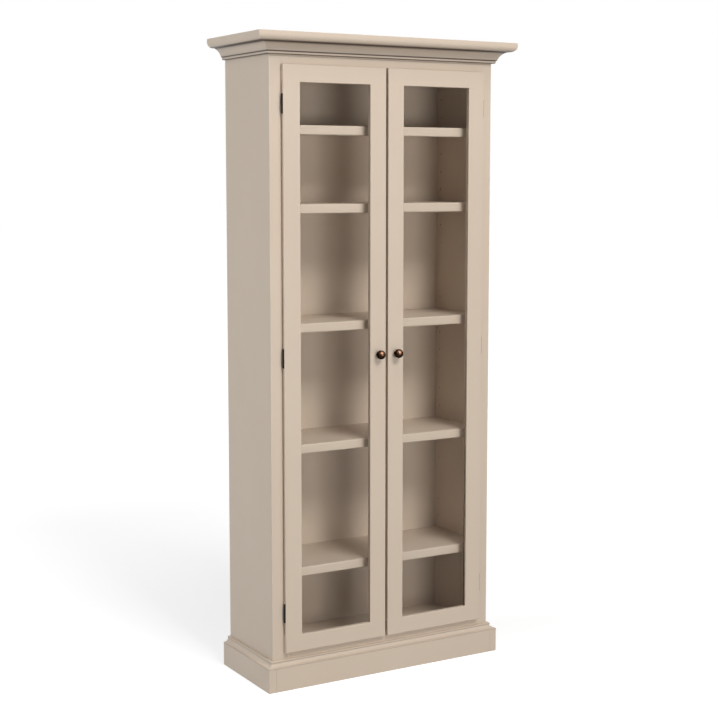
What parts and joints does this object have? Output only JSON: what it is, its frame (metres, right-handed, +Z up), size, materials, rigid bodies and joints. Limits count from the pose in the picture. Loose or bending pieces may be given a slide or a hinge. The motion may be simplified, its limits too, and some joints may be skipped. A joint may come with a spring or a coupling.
{
  "type": "bookcase with glass doors",
  "caption": "Tall painted bookcase with a moulded cornice and plinth, loose shelves and framed glass doors that swing open.",
  "frame": {"origin": "on the floor, in the middle of the cornice's outline", "axes": "+Z up; -Y towards the front, where the doors are; +X to the right, seen from the front"},
  "size_m": [0.983, 0.387, 2.134],
  "materials": {
    "painted_wood": "satin paint, warm putty",
    "clear_glass": "clear, polished",
    "dark_bronze": "dark bronze, satin",
    "zinc_steel": "zinc plated",
    "catch_housing": "matte",
    "magnet": "dark, ground"
  },
  "bodies": {
    "case": {"left_side_panel": "painted_wood", "right_side_panel": "painted_wood", "deck_panel": "painted_wood", "top_panel": "painted_wood", "back_panel": "painted_wood", "back_rail_top": "painted_wood", "back_rail_bottom": "painted_wood", "base_rail_back": "painted_wood", "left_frame_stile": "painted_wood", "right_frame_stile": "painted_wood", "frame_rail_top": "painted_wood", "frame_rail_bottom": "painted_wood", "top_board": "painted_wood", "left_cornice_side_board": "painted_wood", "right_cornice_side_board": "painted_wood", "front_cornice_moulding": "painted_wood", "left_cornice_moulding": "painted_wood", "right_cornice_moulding": "painted_wood", "front_plinth_board": "painted_wood", "left_plinth_board": "painted_wood", "right_plinth_board": "painted_wood", "front_base_moulding": "painted_wood", "left_base_moulding": "painted_wood", "right_base_moulding": "painted_wood", "bottom_shelf": "painted_wood", "lower_shelf": "painted_wood", "middle_shelf": "painted_wood", "upper_shelf": "painted_wood", "top_shelf": "painted_wood", "shelf_lippings": "painted_wood", "shelf_pins": "zinc_steel", "left_hinge_frame_leaves": "dark_bronze", "right_hinge_frame_leaves": "dark_bronze", "left_hinge_pins": "dark_bronze", "right_hinge_pins": "dark_bronze", "carcass_screws": "zinc_steel", "magnetic_catch": "catch_housing", "catch_magnets": "magnet"},
    "left_door": {"left_door_hinge_stile": "painted_wood", "left_door_meeting_stile": "painted_wood", "left_door_top_rail": "painted_wood", "left_door_bottom_rail": "painted_wood", "left_door_glass": "clear_glass", "left_door_glass_beads": "painted_wood", "left_door_screws": "zinc_steel", "left_knob": "dark_bronze", "left_knob_screw": "zinc_steel", "left_strike_plate": "zinc_steel", "left_hinge_door_leaves": "dark_bronze"},
    "right_door": {"right_door_hinge_stile": "painted_wood", "right_door_meeting_stile": "painted_wood", "right_door_top_rail": "painted_wood", "right_door_bottom_rail": "painted_wood", "right_door_glass": "clear_glass", "right_door_glass_beads": "painted_wood", "right_door_screws": "zinc_steel", "right_knob": "dark_bronze", "right_knob_screw": "zinc_steel", "right_strike_plate": "zinc_steel", "right_hinge_door_leaves": "dark_bronze"}
  },
  "joints": [
    {"name": "left_door_hinge", "type": "hinge", "parent": "case", "child": "left_door", "pos_m": [-0.3858, -0.139, 1.0795], "axis": [0, 0, -1], "range_deg": [0, 170]},
    {"name": "right_door_hinge", "type": "hinge", "parent": "case", "child": "right_door", "pos_m": [0.3858, -0.139, 1.0795], "axis": [0, 0, 1], "range_deg": [0, 170]}
  ]
}
